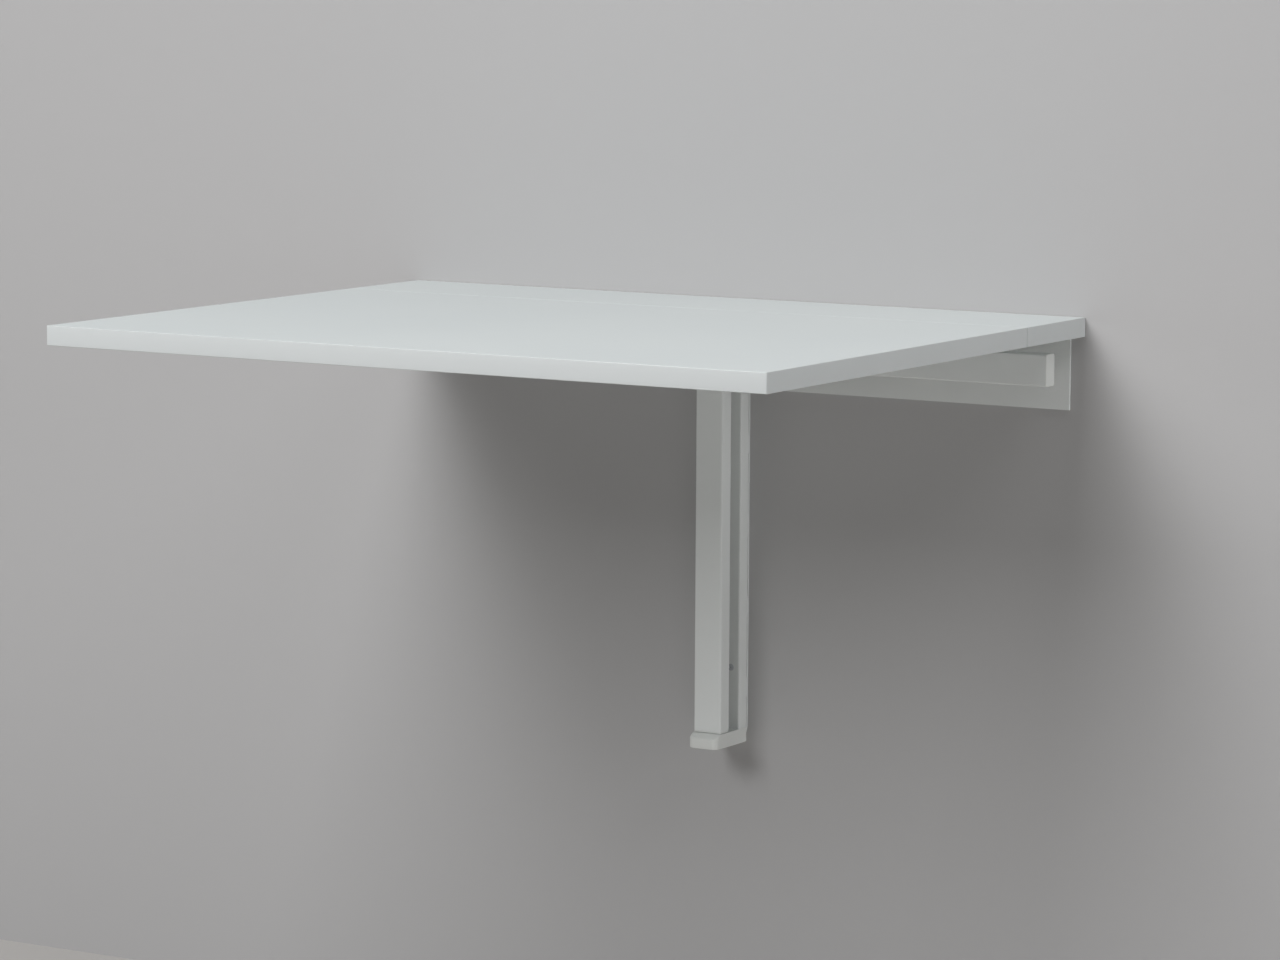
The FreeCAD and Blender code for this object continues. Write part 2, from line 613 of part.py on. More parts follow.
def make_gate():
    """Stile and arm of rectangular tube, with their moulded plugs."""
    save("gate_stile", [one_solid(tube(STILE_LIMITS, Z_AXIS))])
    save("gate_arm", [one_solid(tube(ARM_LIMITS, X_AXIS))])
    save("stile_top_plug", [stile_plug(STILE_TOP, -1)])
    save("stile_bottom_plug", [stile_plug(STILE_BOTTOM, 1)])
    y_low, y_high, z_low, z_high = ARM_LIMITS[2:]
    cover = rounded_box((ARM_END, ARM_REACH, y_low, y_high, z_low, z_high), X_AXIS, TUBE_ROUND)
    inset = TUBE_WALL + PLUG_FIT
    insert = rounded_box(
        (ARM_END - END_PLUG_LENGTH, ARM_END, y_low + inset, y_high - inset, z_low + inset, z_high - inset),
        X_AXIS, TUBE_ROUND / 2
    )
    save("arm_end_plug", [one_solid(cover.fuse(insert))])


def make_gate_rest():
    """Moulded stand-off on the rail that the parked arm lies against, held by a peg."""
    front = ARM_LIMITS[3] + BEND_CLEARANCE
    half_x, half_z = REST_WIDTH / 2, REST_HEIGHT / 2
    limits = (REST_X - half_x, REST_X + half_x, front, -SHEET, ARM_MIDDLE - half_z, ARM_MIDDLE + half_z)
    body = rounded_box(limits, Y_AXIS, TUBE_ROUND)
    peg = Part.makeCylinder(REST_PEG_RADIUS, SHEET, point(REST_X, -SHEET, ARM_MIDDLE), Y_AXIS)
    save("gate_rest", [one_solid(body.fuse(peg))])


def make_support_block():
    """Block under the leaf with a lead-in ramp on one side and a stop lip on the other."""
    y_low, y_high = BLOCK_OUTER_Y, BLOCK_OUTER_Y + BLOCK_LENGTH
    pad_low = UNDERSIDE - BLOCK_DEPTH
    arm_side = GATE_TUBE_DEPTH / 2
    lip_inner = -arm_side - ARM_CLEARANCE
    lip_outer = lip_inner - BLOCK_LIP_THICKNESS
    ramp_end = arm_side + BLOCK_SIDE
    lip_low = pad_low - BLOCK_LIP_DROP
    outline = [
        (lip_outer, UNDERSIDE), (ramp_end, UNDERSIDE), (ramp_end, pad_low + BLOCK_RAMP),
        (ramp_end - BLOCK_RAMP, pad_low), (lip_inner, pad_low), (lip_inner, lip_low),
        (lip_outer, lip_low),
    ]
    corners = [point(x, y_low, z) for x, z in outline]
    face = Part.Face(Part.makePolygon(corners + corners[:1]))
    block = face.extrude(point(0, y_high - y_low, 0))
    block = block.makeFillet(BLOCK_ROUND, edges_along(block, Z_AXIS))
    holes = []
    for head in block_screw_heads():
        below = head.sub(point(0, 0, BLOCK_HEAD_RECESS))
        holes.append(Part.makeCylinder(BLOCK_SCREW_HEAD + RUNNING, BLOCK_HEAD_RECESS, below, Z_AXIS))
        holes.append(countersink(head, BLOCK_SCREW_RADIUS, BLOCK_SCREW_HEAD, BLOCK_DEPTH))
    save("leaf_support_block", [one_solid(block.cut(holes))])
    screws = [
        countersunk_screw(head, BLOCK_SCREW_RADIUS, BLOCK_SCREW_HEAD, block_screw_length())
        for head in block_screw_heads()
    ]
    save("support_block_screws", screws)


os.makedirs("parts", exist_ok=True)
make_shelf()
make_leaf()
make_hinges()
make_rail_plate()
make_post_leg()
make_post_tube()
make_shelf_screws()
make_foot_cap()
make_pivots()
make_gate()
make_gate_rest()
make_support_block()
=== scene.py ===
import json
import math
import bmesh
import bpy
import numpy as np
from mathutils import Matrix, Vector

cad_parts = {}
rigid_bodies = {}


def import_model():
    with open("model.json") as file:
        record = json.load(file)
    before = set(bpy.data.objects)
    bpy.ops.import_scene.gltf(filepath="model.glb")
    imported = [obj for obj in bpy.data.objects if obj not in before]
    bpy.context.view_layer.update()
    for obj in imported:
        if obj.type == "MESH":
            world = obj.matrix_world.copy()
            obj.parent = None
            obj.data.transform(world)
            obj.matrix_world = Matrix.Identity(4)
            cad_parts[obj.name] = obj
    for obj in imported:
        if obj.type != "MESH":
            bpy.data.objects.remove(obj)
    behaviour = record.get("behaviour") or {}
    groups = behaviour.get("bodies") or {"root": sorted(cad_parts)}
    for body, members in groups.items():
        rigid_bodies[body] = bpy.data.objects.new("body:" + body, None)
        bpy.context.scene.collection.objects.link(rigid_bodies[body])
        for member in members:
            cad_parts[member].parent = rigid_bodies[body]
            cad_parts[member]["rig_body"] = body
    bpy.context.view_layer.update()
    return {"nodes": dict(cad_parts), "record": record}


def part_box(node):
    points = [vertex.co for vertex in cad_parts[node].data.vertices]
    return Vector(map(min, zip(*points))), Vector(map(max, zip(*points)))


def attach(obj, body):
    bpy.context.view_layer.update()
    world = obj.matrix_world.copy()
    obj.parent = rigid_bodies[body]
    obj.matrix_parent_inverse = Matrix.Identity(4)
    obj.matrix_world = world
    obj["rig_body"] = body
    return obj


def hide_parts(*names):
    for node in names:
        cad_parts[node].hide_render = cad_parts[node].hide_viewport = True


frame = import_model()

# Wall mounted drop leaf table. Metres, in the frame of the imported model: the wall is the plane Y = 0,
# +X runs along it, -Y points into the room and +Z points up.
MM = 0.001

# Edge bands
BAND = 1.0 * MM
BAND_ROUND = 0.6 * MM
BAND_CORNER = 1.2 * MM
GLUE_LINE = 0.12 * MM

# Tubes and their moulded plugs
TUBE_ROUND = 2.0 * MM
TUBE_WALL = 1.5 * MM
PLUG_FIT = 0.1 * MM
PLUG_FLANGE = 1.5 * MM
PLUG_EDGE = 0.9 * MM
PLUG_CROWN = 0.25 * MM
PLUG_CROWN_CORNER = 0.2 * MM
PLUG_CORNER = 1.0 * MM
PLUG_NOSE = 1.5 * MM
PLUG_NOSE_INSET = 1.2 * MM
PLUG_BODY_INSET = 0.3 * MM
PLUG_NECK_INSET = 0.4 * MM
RIB_FIRST = 0.3
RIB_LAST = 0.8
RIB_COUNT = 3
# A rib's section: steps along the plug, and how far each lies in from the fit to the tube
RIB_STEPS = ((0.0, 0.4 * MM), (0.3 * MM, 0.0), (1.1 * MM, 0.0), (1.4 * MM, 0.4 * MM))

# How far sharp edges are rolled over
SHEET_EDGE = 0.3 * MM
MOULDED_EDGE = 0.5 * MM
STAMPED_EDGE = 0.18 * MM
TURNED_EDGE = 0.25 * MM
ROLLED_ANGLE = math.radians(35)
FLAT_ANGLE = math.radians(0.5)
MERGE = 0.005 * MM

# Foot shoe
SHOE_LIP = 0.4 * MM
SHOE_FLARE = 6.0 * MM
SHOE_BROW = 8.0 * MM
SHOE_SLOPE = 5.5 * MM
SHOE_CORNER = 6.0 * MM
SHOE_TOP_CORNER = 1.5 * MM
SHOE_RIM = 0.8 * MM
SHOE_REAR = 0.1 * MM
SHOE_RECESS = 2.9 * MM
SHOE_SCREW_ROOM = 0.3 * MM
SHOE_HOLE_EDGE = 0.2 * MM
SHOE_POCKET_ROOM = 0.1 * MM
SHOE_POCKET_REAR = -0.25 * MM

# Hinge pins
HINGE_SHAFT = 2.0 * MM
HINGE_HEAD = 1.0 * MM
HINGE_HEAD_ROUND = 0.6 * MM
HINGE_HEAD_FLAT = 0.3 * MM

# The gate's lower pin, and the bore of the washers
PIN_BORE = 4.05 * MM
RIVET_SHAFT = 4.0 * MM
RIVET_HEIGHT = 2.0 * MM
RIVET_CHAMFER = 0.6 * MM
RIVET_BULGE = 0.97

# Screws: places from the middle of what they hold, and their shapes
HINGE_SCREW_OFFSETS = ((-25 * MM, 21 * MM), (0.0, 14 * MM), (25 * MM, 21 * MM))
SHELF_SCREW_X = (-325 * MM, -125 * MM, 125 * MM, 325 * MM)
BLOCK_SCREW_STEP = 14 * MM
WOOD_SCREW = (1.75 * MM, 3.5 * MM)
BLOCK_SCREW = (2.0 * MM, 3.9 * MM)
PAN_SCREW = (2.1 * MM, 4.4 * MM)
POST_SCREW = (2.1 * MM, 3.38 * MM)
POST_SCREW_SINK = 0.05 * MM
PAN_HEIGHT = 2.6 * MM
PAN_DOME = 0.7
PAN_RIM = 0.1 * MM
SUNK_RIM = 0.15 * MM
RECESS_DEPTH = 1.25 * MM
RECESS_SHARE = 0.56
RECESS_WAIST = 0.36
# The recess narrows inwards: shares of its depth and of its mouth
RECESS_STEPS = ((1.0, 0.5), (0.2, 0.85), (0.0, 1.0))
THREAD_START = 0.5 * MM
THREAD_PITCH = 1.4 * MM
THREAD_ROWS_PER_TURN = 6
THREAD_DEPTH = 0.28
SCREW_TIP = 0.12

# Points round a screw or a turned piece
AROUND = 32

# Weld beads
BEAD = 1.5 * MM
BEAD_PITCH = 1.3 * MM
BEAD_STEP = BEAD_PITCH / 5
BEAD_AROUND = 12
BEAD_RIPPLE = 0.13
JOINT_OFFSET = 0.3 * MM
COLLAR_INSET = 0.4 * BEAD
COLLAR_DROP = 0.2 * BEAD
STITCH_INSET = 0.75 * BEAD
STITCH_FORWARD = 0.5 * BEAD
WELD_SHARP_DEGREES = 60
STITCH = 24 * MM
STITCH_COUNT = 5

# Board: the bare edge's chips, and how rough its face and its bare edge are
CHIPS_PER_METRE = 420.0
BARE_EDGE = 0.05 * MM
FACE_ROUGHNESS = 0.34
FACE_ROUGHNESS_DRIFT = 0.07
BARE_ROUGHNESS_ADDED = 0.35

# Colours, linear
WHITE_FACE = (0.612, 0.657, 0.660)
WHITE_FACE_DRIFT = (0.630, 0.670, 0.670)
WHITE_BAND = (0.630, 0.658, 0.662)
WHITE_BAND_DRIFT = (0.616, 0.645, 0.648)
POWDER = (0.752, 0.778, 0.770)
POWDER_DRIFT = (0.768, 0.792, 0.785)
POWDER_WORN = (0.56, 0.58, 0.56)
PLASTIC = (0.722, 0.742, 0.722)
PLASTIC_DRIFT = (0.738, 0.756, 0.736)
ZINC = (0.60, 0.62, 0.64)
ZINC_DRIFT = (0.50, 0.52, 0.55)
ZINC_WORN = (0.74, 0.75, 0.76)
NYLON = (0.66, 0.65, 0.58)
NYLON_DRIFT = (0.62, 0.61, 0.54)
CHIP_LIGHT = (0.52, 0.37, 0.22)
CHIP_DARK = (0.24, 0.15, 0.08)
WALL_PAINT = (0.476, 0.473, 0.476)
FLOOR_PAINT = (0.545, 0.528, 0.512)
BACKGROUND = (0.55, 0.555, 0.56)

# Camera: its place, and its right, up and back directions
CAMERA_PLACE = Vector((2.2190, -3.8908, 0.4383))
CAMERA_RIGHT = Vector((0.8578, 0.5140, 0.0054))
CAMERA_UP = Vector((-0.0687, 0.1043, 0.9922))
CAMERA_BACK = Vector((0.5094, -0.8514, 0.1248))
CAMERA_LENS = 130.95
SENSOR = 36.0

# Stage
FLOOR_DROP = 0.69
STAGE_HALF = 4.0
FADE_START = 1.6
FADE_END = 3.4
WALL_GAP = 0.5 * MM

# Light: each lamp's name, place, side and watts
AMBIENT = 0.025
LAMP_AIM = Vector((0.0, -0.3, 0.0))
ROOM_LAMPS = (
    ("Key", (-0.67, -2.8, 3.7), 2.6, 122),
    ("Front", (-1.03, -4.1, 2.1), 1.8, 82),
    ("Side", (3.7, -0.6, 0.35), 1.8, 25),
    ("Right", (2.4, -0.9, 3.0), 1.8, 37),
)
REAR_LAMP = ("Rear", (-0.6, 3.6, 1.0), 2.4, 40)


# Shader helpers

def add(tree, kind, inputs=(), **settings):
    """Add a node, with its settings, then give each input a value or another node's output."""
    made = tree.nodes.new(kind)
    for setting, value in settings.items():
        setattr(made, setting, value)
    for socket, value in dict(inputs).items():
        if isinstance(value, bpy.types.NodeSocket):
            tree.links.new(value, made.inputs[socket])
        else:
            made.inputs[socket].default_value = value
    return made


def new_group(name, inputs, outputs):
    """Empty shader group with named sockets, and its input and output nodes."""
    group = bpy.data.node_groups.new(name, "ShaderNodeTree")
    for word, kind in inputs:
        group.interface.new_socket(name=word, in_out="INPUT", socket_type="NodeSocket" + kind)
    for word, kind in outputs:
        group.interface.new_socket(name=word, in_out="OUTPUT", socket_type="NodeSocket" + kind)
    return group, group.nodes.new("NodeGroupInput"), group.nodes.new("NodeGroupOutput")


def use(tree, group, **inputs):
    """Place a shared group in a material; an underscore in an input's name stands for a space."""
    named = {word.replace("_", " "): value for word, value in inputs.items()}
    return add(tree, "ShaderNodeGroup", named, node_tree=group)


def rgba(colour):
    """A colour with an alpha of 1."""
    return (*colour, 1.0)


def math_node(tree, operation, *values):
    """Output of a math node on one, two or three values."""
    return add(tree, "ShaderNodeMath", dict(enumerate(values)), operation=operation).outputs[0]


def blend_colours(tree, share, first, second):
    """The first colour where the share is 0, and the second where it is 1."""
    mix = add(tree, "ShaderNodeMix", {0: share, 6: first, 7: second}, data_type="RGBA")
    return mix.outputs[2]


# Shared effects

def make_drift_group():
    """Slow drift of tone: cloudy noise of a given size mixes one colour into another."""
    group, given, result = new_group(
        "Tone drift",
        (("Position", "Vector"), ("Size", "Float"), ("Colour", "Color"), ("Other colour", "Color")),
        (("Colour", "Color"), ("Cloud", "Float")),
    )
    rate = math_node(group, "DIVIDE", 1.0, given.outputs["Size"])
    cloud = add(
        group, "ShaderNodeTexNoise", {"Vector": given.outputs["Position"], "Scale": rate, "Detail": 4.0}
    )
    spread = add(group, "ShaderNodeMapRange", {"Value": cloud.outputs[0], "From Min": 0.3, "From Max": 0.7})
    colour = blend_colours(
        group, spread.outputs[0], given.outputs["Colour"], given.outputs["Other colour"]
    )
    group.links.new(colour, result.inputs["Colour"])
    group.links.new(spread.outputs[0], result.inputs["Cloud"])
    return group


def make_pebble_group():
    """Pebbled relief: rounded cells of a given size, softened by finer noise of a third of that size."""
    group, given, result = new_group(
        "Pebbled relief",
        (("Position", "Vector"), ("Size", "Float"), ("Fine share", "Float")),
        (("Height", "Float"),),
    )
    rate = math_node(group, "DIVIDE", 1.0, given.outputs["Size"])
    cells = add(
        group, "ShaderNodeTexVoronoi",
        {"Vector": given.outputs["Position"], "Scale": rate, "Smoothness": 0.6}, feature="SMOOTH_F1",
    )
    finer = math_node(group, "MULTIPLY", rate, 3.0)
    grit = add(
        group, "ShaderNodeTexNoise", {"Vector": given.outputs["Position"], "Scale": finer, "Detail": 2.0}
    )
    height = add(
        group, "ShaderNodeMix",
        {0: given.outputs["Fine share"], 2: cells.outputs["Distance"], 3: grit.outputs[0]},
    )
    group.links.new(height.outputs[0], result.inputs["Height"])
    return group


def make_brush_group():
    """Fine drawn lines: noise squeezed across the drawing direction, so that each streak is long and thin."""
    group, given, result = new_group(
        "Drawn lines",
        (("Position", "Vector"), ("Stretch", "Vector"), ("Size", "Float")),
        (("Height", "Float"),),
    )
    rate = math_node(group, "DIVIDE", 1.0, given.outputs["Size"])
    stretched = add(
        group, "ShaderNodeVectorMath", {0: given.outputs["Position"], 1: given.outputs["Stretch"]},
        operation="MULTIPLY",
    )
    lines = add(
        group, "ShaderNodeTexNoise", {"Vector": stretched.outputs[0], "Scale": rate, "Detail": 3.0}
    )
    group.links.new(lines.outputs[0], result.inputs["Height"])
    return group


def make_wear_group():
    """Edge wear: where the rounded normal leaves the true one there is an edge, broken up by noise."""
    group, given, result = new_group(
        "Edge wear",
        (("Position", "Vector"), ("Reach", "Float"), ("Patch size", "Float")),
        (("Mask", "Float"),),
    )
    rounded = add(group, "ShaderNodeBevel", {"Radius": given.outputs["Reach"]}, samples=4)
    true = add(group, "ShaderNodeNewGeometry")
    likeness = add(
        group, "ShaderNodeVectorMath", {0: rounded.outputs[0], 1: true.outputs["Normal"]},
        operation="DOT_PRODUCT",
    )
    edge = add(
        group, "ShaderNodeMapRange", {"Value": likeness.outputs["Value"], "From Min": 0.99, "From Max": 0.8}
    )
    rate = math_node(group, "DIVIDE", 1.0, given.outputs["Patch size"])
    patches = add(
        group, "ShaderNodeTexNoise", {"Vector": given.outputs["Position"], "Scale": rate, "Detail": 3.0}
    )
    broken = add(
        group, "ShaderNodeMapRange", {"Value": patches.outputs[0], "From Min": 0.42, "From Max": 0.62}
    )
    mask = math_node(group, "MULTIPLY", edge.outputs[0], broken.outputs[0])
    group.links.new(mask, result.inputs["Mask"])
    return group


DRIFT = make_drift_group()
PEBBLE = make_pebble_group()
BRUSH = make_brush_group()
WEAR = make_wear_group()


def new_material(name):
    """Material with its shader, and the place on the object that its patterns follow."""
    material = bpy.data.materials.new(name)
    material.use_nodes = True
    tree = material.node_tree
    place = add(tree, "ShaderNodeTexCoord").outputs["Object"]
    return material, tree, tree.nodes["Principled BSDF"], place


def set_roughness(tree, shader, varying, low, high):
    """Roughness between two values, as a varying one goes from 0 to 1."""
    spread = add(tree, "ShaderNodeMapRange", {"Value": varying, "To Min": low, "To Max": high})
    tree.links.new(spread.outputs[0], shader.inputs["Roughness"])


def set_relief(tree, shader, height, depth):
    """Bump of a given depth in metres."""
    bump = add(tree, "ShaderNodeBump", {"Height": height, "Distance": depth})
    tree.links.new(bump.outputs[0], shader.inputs["Normal"])


def make_melamine():
    """Melamine faced board with a fine pearl, and bare chipboard on the unbanded edge at the wall."""
    material, tree, shader, place = new_material("White melamine")
    face = use(
        tree, DRIFT, Position=place, Size=0.16, Colour=rgba(WHITE_FACE), Other_colour=rgba(WHITE_FACE_DRIFT)
    )
    pearl = use(tree, PEBBLE, Position=place, Size=0.9 * MM, Fine_share=0.45)
    cells = add(tree, "ShaderNodeTexVoronoi", {"Vector": place, "Scale": CHIPS_PER_METRE})
    chip_tone = add(tree, "ShaderNodeSeparateColor", {0: cells.outputs["Color"]})
    chips = blend_colours(tree, chip_tone.outputs[0], rgba(CHIP_LIGHT), rgba(CHIP_DARK))
    depth = add(tree, "ShaderNodeSeparateXYZ", {0: place}).outputs["Y"]
    bare = math_node(tree, "GREATER_THAN", depth, -BARE_EDGE)
    colour = blend_colours(tree, bare, face.outputs["Colour"], chips)
    tree.links.new(colour, shader.inputs["Base Color"])
    even = math_node(tree, "MULTIPLY_ADD", bare, BARE_ROUGHNESS_ADDED, FACE_ROUGHNESS)
    rough = math_node(tree, "MULTIPLY_ADD", face.outputs["Cloud"], FACE_ROUGHNESS_DRIFT, even)
    tree.links.new(rough, shader.inputs["Roughness"])
    relief = add(
        tree, "ShaderNodeMix", {0: bare, 2: pearl.outputs["Height"], 3: chip_tone.outputs[0]}
    )
    set_relief(tree, shader, relief.outputs[0], 0.03 * MM)
    return material


def make_banding():
    """Plastic edge band with a fine pebbled skin."""
    material, tree, shader, place = new_material("White edge band")
    face = use(
        tree, DRIFT, Position=place, Size=0.09, Colour=rgba(WHITE_BAND), Other_colour=rgba(WHITE_BAND_DRIFT)
    )
    pearl = use(tree, PEBBLE, Position=place, Size=0.7 * MM, Fine_share=0.6)
    tree.links.new(face.outputs["Colour"], shader.inputs["Base Color"])
    set_roughness(tree, shader, face.outputs["Cloud"], 0.30, 0.40)
    set_relief(tree, shader, pearl.outputs["Height"], 0.02 * MM)
    return material


def make_powder_coat():
    """Satin powder coat with orange peel, thinner and greyer in patches along the edges."""
    material, tree, shader, place = new_material("White powder coat")
    face = use(
        tree, DRIFT, Position=place, Size=0.05, Colour=rgba(POWDER), Other_colour=rgba(POWDER_DRIFT)
    )
    wear = use(tree, WEAR, Position=place, Reach=0.5 * MM, Patch_size=9 * MM)
    colour = blend_colours(tree, wear.outputs["Mask"], face.outputs["Colour"], rgba(POWDER_WORN))
    peel = use(tree, PEBBLE, Position=place, Size=1.6 * MM, Fine_share=0.25)
    tree.links.new(colour, shader.inputs["Base Color"])
    set_roughness(tree, shader, face.outputs["Cloud"], 0.38, 0.48)
    set_relief(tree, shader, peel.outputs["Height"], 0.07 * MM)
    return material


def make_plastic():
    """Moulded plastic with a fine sparked texture."""
    material, tree, shader, place = new_material("White moulded plastic")
    face = use(
        tree, DRIFT, Position=place, Size=0.02, Colour=rgba(PLASTIC), Other_colour=rgba(PLASTIC_DRIFT)
    )
    spark = use(tree, PEBBLE, Position=place, Size=0.45 * MM, Fine_share=0.5)
    tree.links.new(face.outputs["Colour"], shader.inputs["Base Color"])
    set_roughness(tree, shader, face.outputs["Cloud"], 0.44, 0.56)
    set_relief(tree, shader, spark.outputs["Height"], 0.045 * MM)
    return material


def make_zinc():
    """Zinc plated steel: drawn lines, a cloudy tint and brighter rubbed edges."""
    material, tree, shader, place = new_material("Zinc plate")
    face = use(tree, DRIFT, Position=place, Size=0.006, Colour=rgba(ZINC), Other_colour=rgba(ZINC_DRIFT))
    wear = use(tree, WEAR, Position=place, Reach=0.4 * MM, Patch_size=3 * MM)
    colour = blend_colours(tree, wear.outputs["Mask"], face.outputs["Colour"], rgba(ZINC_WORN))
    lines = use(tree, BRUSH, Position=place, Stretch=(0.06, 1.0, 1.0), Size=0.3 * MM)
    shader.inputs["Metallic"].default_value = 1.0
    tree.links.new(colour, shader.inputs["Base Color"])
    set_roughness(tree, shader, lines.outputs["Height"], 0.26, 0.46)
    set_relief(tree, shader, lines.outputs["Height"], 0.012 * MM)
    return material


def make_nylon():
    """Natural nylon of the washers and the plug round the upper pin."""
    material, tree, shader, place = new_material("Natural nylon")
    face = use(tree, DRIFT, Position=place, Size=0.008, Colour=rgba(NYLON), Other_colour=rgba(NYLON_DRIFT))
    grain = use(tree, PEBBLE, Position=place, Size=0.6 * MM, Fine_share=0.7)
    tree.links.new(face.outputs["Colour"], shader.inputs["Base Color"])
    set_roughness(tree, shader, face.outputs["Cloud"], 0.36, 0.46)
    set_relief(tree, shader, grain.outputs["Height"], 0.015 * MM)
    return material


ZINC_PLATE = make_zinc()
FINISHES = {
    "white_board": make_melamine(),
    "edge_band": make_banding(),
    "white_steel": make_powder_coat(),
    "white_plastic": make_plastic(),
    "zinc_steel": ZINC_PLATE,
    "zinc_screw": ZINC_PLATE,
    "nylon": make_nylon(),
}
SLOT_OF = {row["node"]: row["material_slot"] for row in frame["record"]["subparts"]}


# Mesh helpers

def grid_faces(rows, columns, loop_rows, loop_columns):
    """Quads between neighbouring rows and columns of a grid of points; a loop joins last to first."""
    row, column = np.meshgrid(
        np.arange(rows if loop_rows else rows - 1),
        np.arange(columns if loop_columns else columns - 1), indexing="ij",
    )
    next_row, next_column = (row + 1) % rows, (column + 1) % columns
    corners = (
        row * columns + column, row * columns + next_column,
        next_row * columns + next_column, next_row * columns + column,
    )
    return np.stack(corners, axis=-1).reshape(-1, 4).tolist()


def skin(grid, loop_rows=False, loop_columns=True):
    """Points and faces of a closed surface over a grid (rows, columns, 3), with its open ends capped."""
    rows, columns = grid.shape[:2]
    faces = grid_faces(rows, columns, loop_rows, loop_columns)
    index = np.arange(rows * columns).reshape(rows, columns)
    if not loop_rows:
        faces += [index[0].tolist(), index[-1].tolist()]
    if not loop_columns:
        faces += [index[:, 0].tolist(), index[:, -1].tolist()]
    return grid.reshape(-1, 3), faces


def rounded_outline(a_low, a_high, b_low, b_high, radius, per_corner=8):
    """Rounded rectangles: a corner's points lie at the corner's centre plus the radius times
    (cos a, sin a), while a sweeps a quarter turn. The limits may be arrays, one outline for each."""
    turn = np.radians(np.array([0, 90, 180, 270])[:, None] + np.linspace(0, 90, per_corner))
    right = np.array([True, False, False, True])[:, None]
    upper = np.array([True, True, False, False])[:, None]
    a = np.where(right, a_high - radius, a_low + radius) + radius * np.cos(turn)
    b = np.where(upper, b_high - radius, b_low + radius) + radius * np.sin(turn)
    return a.reshape(*a.shape[:-2], -1), b.reshape(*b.shape[:-2], -1)


def lofted(axis, sections, per_corner=8, loop=False):
    """Skin through rounded rectangles stacked along an axis. A section gives its place on the axis, its
    limits on the two axes that follow, and its corner radius."""
    place, *limits = np.asarray(sections, float).T[:, :, None, None]
    a, b = rounded_outline(*limits, per_corner)
    grid = np.empty(a.shape + (3,))
    grid[..., axis] = place[..., 0]
    grid[..., (axis + 1) % 3] = a
    grid[..., (axis + 2) % 3] = b
    return skin(grid, loop_rows=loop)


def turned(axis, centre, profile, loop=False):
    """Turned piece: circles of given places and radii round a line along an axis. A circle is a
    square section whose corner radius is half its side."""
    a, b = centre
    rows = [(place, a - radius, a + radius, b - radius, b + radius, radius) for place, radius in profile]
    return lofted(axis, rows, AROUND // 4, loop)


def join_skins(skins):
    """Several skins as one list of points and one of faces."""
    points, faces, start = [], [], 0
    for some_points, some_faces in skins:
        points.append(some_points)
        faces += [[start + corner for corner in face] for face in some_faces]
        start += len(some_points)
    return np.concatenate(points), faces


def shade(mesh, sharp_degrees):
    """Smooth shading, but sharp along edges that turn by more than an angle."""
    mesh.shade_smooth()
    mesh.set_sharp_from_angle(angle=math.radians(sharp_degrees))


def new_piece(name, surface, stands_for, body=None, slot=None, sharp_degrees=32):
    """Object from a skin. It rides the body of the nodes that it stands for, and has their finish."""
    mesh = bpy.data.meshes.new(name)
    points, faces = surface
    mesh.from_pydata(np.asarray(points).tolist(), [], faces)
    shell = bmesh.new()
    shell.from_mesh(mesh)
    bmesh.ops.recalc_face_normals(shell, faces=shell.faces)
    shell.to_mesh(mesh)
    shell.free()
    shade(mesh, sharp_degrees)
    settle(name, mesh, stands_for, body, slot)


def settle(name, mesh, stands_for, body=None, slot=None):
    """Link a finished mesh, give it its material and its body, and hide the nodes that it stands for."""
    piece = bpy.data.objects.new(name, mesh)
    bpy.context.scene.collection.objects.link(piece)
    slot = slot or SLOT_OF[stands_for[0]]
    mesh.materials.append(FINISHES[slot])
    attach(piece, body or frame["nodes"][stands_for[0]]["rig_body"])
    if stands_for:
        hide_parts(*stands_for)
    return piece


# Boards' edge bands

def band_section(z_low, z_high):
    """Section of the band as depth in from its outer face, and height: a quarter circle at each outer
    long edge, and a small chamfer at each glue line."""
    turn = np.radians(np.linspace(0, 90, 7))
    lower = np.stack([BAND_ROUND * (1 - np.sin(turn)), z_low + BAND_ROUND * (1 - np.cos(turn))], -1)
    upper = np.stack([BAND_ROUND * (1 - np.cos(turn)), z_high - BAND_ROUND * (1 - np.sin(turn))], -1)
    inner = np.array([
        (BAND - GLUE_LINE, z_high), (BAND, z_high - GLUE_LINE),
        (BAND, z_low + GLUE_LINE), (BAND - GLUE_LINE, z_low),
    ])
    return np.concatenate([lower, upper, inner])


def band_skin(low, high, to_wall):
    """Edge band round a board. One parameter runs round the band's section. The other runs round the
    board in plan, where a corner is a quarter circle whose radius shrinks by the depth into the band.
    A band that goes to the wall stops there in two cut ends."""
    section = band_section(low.z, high.z)
    turn = np.radians(np.array([180, 270, 0, 90])[:, None] + np.linspace(0, 90, 6))
    left, right = low.x + BAND_CORNER, high.x - BAND_CORNER
    front, rear = low.y + BAND_CORNER, high.y - BAND_CORNER
    centre = np.repeat([(left, front), (right, front), (right, rear), (left, rear)], 6, axis=0)
    direction = np.stack([np.cos(turn), np.sin(turn)], -1).reshape(-1, 2)
    if to_wall:
        centre = np.concatenate([[(left, high.y)], centre[:12], [(right, high.y)]])
        direction = np.concatenate([[(-1.0, 0.0)], direction[:12], [(1.0, 0.0)]])
    reach = (BAND_CORNER - section[:, 0])[:, None, None]
    plan = centre[None] + reach * direction[None]
    height = np.broadcast_to(section[:, 1][:, None, None], plan.shape[:2] + (1,))
    return skin(np.concatenate([plan, height], axis=-1), loop_rows=True, loop_columns=not to_wall)


def make_edge_bands():
    """The shelf's band stops at the wall. The leaf's goes all the way round."""
    for node, to_wall in (("shelf_edge_bands", True), ("leaf_edge_bands", False)):
        new_piece(node[:-1] + "ing", band_skin(*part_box(node), to_wall), [node])


# Moulded pieces

